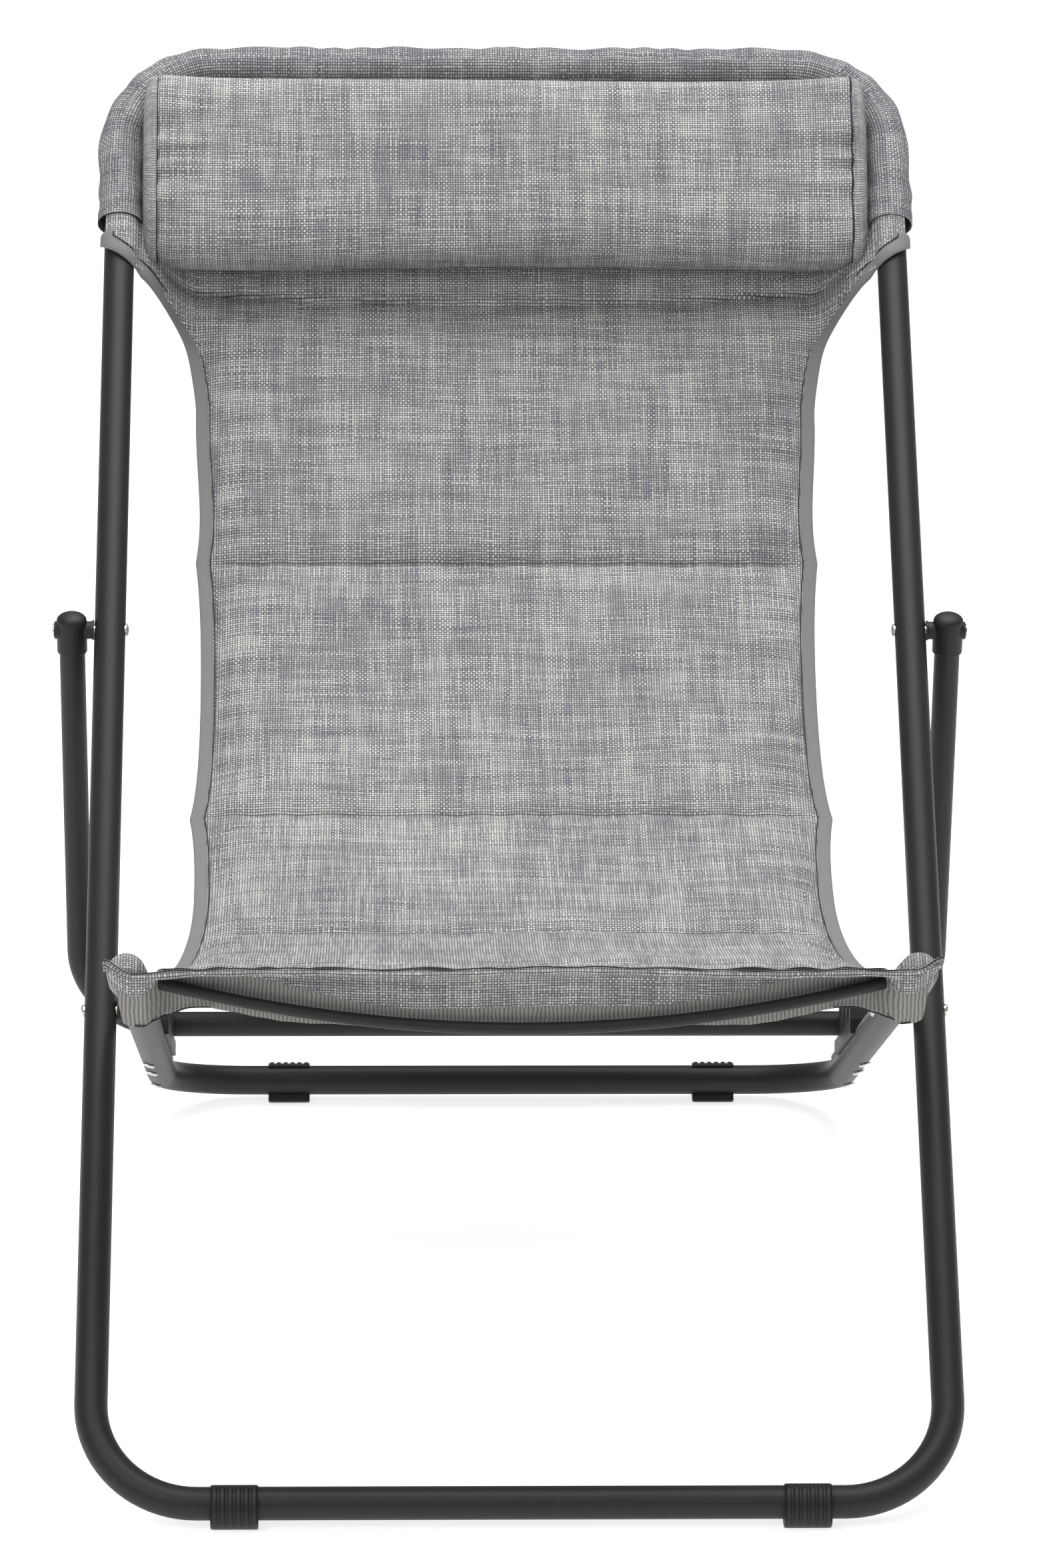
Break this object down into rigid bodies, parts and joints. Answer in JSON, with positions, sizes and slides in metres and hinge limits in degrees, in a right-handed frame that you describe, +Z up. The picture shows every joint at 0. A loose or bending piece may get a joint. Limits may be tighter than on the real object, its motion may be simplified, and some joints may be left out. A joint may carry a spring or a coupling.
{
  "type": "folding sling chair",
  "caption": "Folding deck chair with a tubular frame, a padded fabric sling seat, a headrest pillow and a prop frame that sets the recline.",
  "frame": {"origin": "on the floor under the middle of the chair's outer box, set up in the recline shown", "axes": "+Z up, +X to the left of a person sitting in it, the sitter faces -Y"},
  "size_m": [0.7338, 1.0135, 0.8776],
  "materials": {
    "coated_steel": "dark anthracite textured powder coat",
    "black_plastic": "moulded black plastic, fine grain",
    "rivet_steel": "bright zinc-plated rivet heads",
    "mesh_cloth": "grey melange mesh weave, padded, light grey binding"
  },
  "bodies": {
    "back": {"back_frame_lower": "coated_steel", "back_frame_upper": "coated_steel", "back_panel": "mesh_cloth", "frame_spigot_left": "coated_steel", "frame_spigot_right": "coated_steel", "front_foot_left": "black_plastic", "front_foot_right": "black_plastic", "headrest_pillow": "mesh_cloth", "prop_rivet_left": "rivet_steel", "prop_rivet_right": "rivet_steel", "prop_washer_left": "black_plastic", "prop_washer_right": "black_plastic", "seat_bush_left": "black_plastic", "seat_bush_right": "black_plastic", "seat_rivet_left": "rivet_steel", "seat_rivet_right": "rivet_steel", "top_sleeve": "mesh_cloth"},
    "seat": {"corner_pocket_left": "mesh_cloth", "corner_pocket_right": "mesh_cloth", "front_bow": "coated_steel", "rack_left": "black_plastic", "rack_right": "black_plastic", "rack_rivet_left_1": "rivet_steel", "rack_rivet_left_2": "rivet_steel", "rack_rivet_left_3": "rivet_steel", "rack_rivet_right_1": "rivet_steel", "rack_rivet_right_2": "rivet_steel", "rack_rivet_right_3": "rivet_steel", "rear_foot_left": "black_plastic", "rear_foot_right": "black_plastic", "seat_end_cap_left": "black_plastic", "seat_end_cap_right": "black_plastic", "seat_frame_tube": "coated_steel", "seat_panel": "mesh_cloth"},
    "prop": {"prop_cap_left": "black_plastic", "prop_cap_right": "black_plastic", "prop_frame": "coated_steel"}
  },
  "joints": [
    {"name": "seat_fold", "type": "hinge", "parent": "back", "child": "seat", "pos_m": [0, -0.1806, 0.28377], "axis": [1, 0, 0], "range_deg": [0, 68], "deforming": ["back_panel", "seat_panel", "headrest_pillow"]},
    {"name": "prop_fold", "type": "hinge", "parent": "back", "child": "prop", "pos_m": [0, 0.07709, 0.50558], "axis": [1, 0, 0], "range_deg": [0, 121.1]}
  ],
  "couplings": [
    {"joint": "prop_fold", "follows": "seat_fold", "ratio": 1.78}
  ]
}
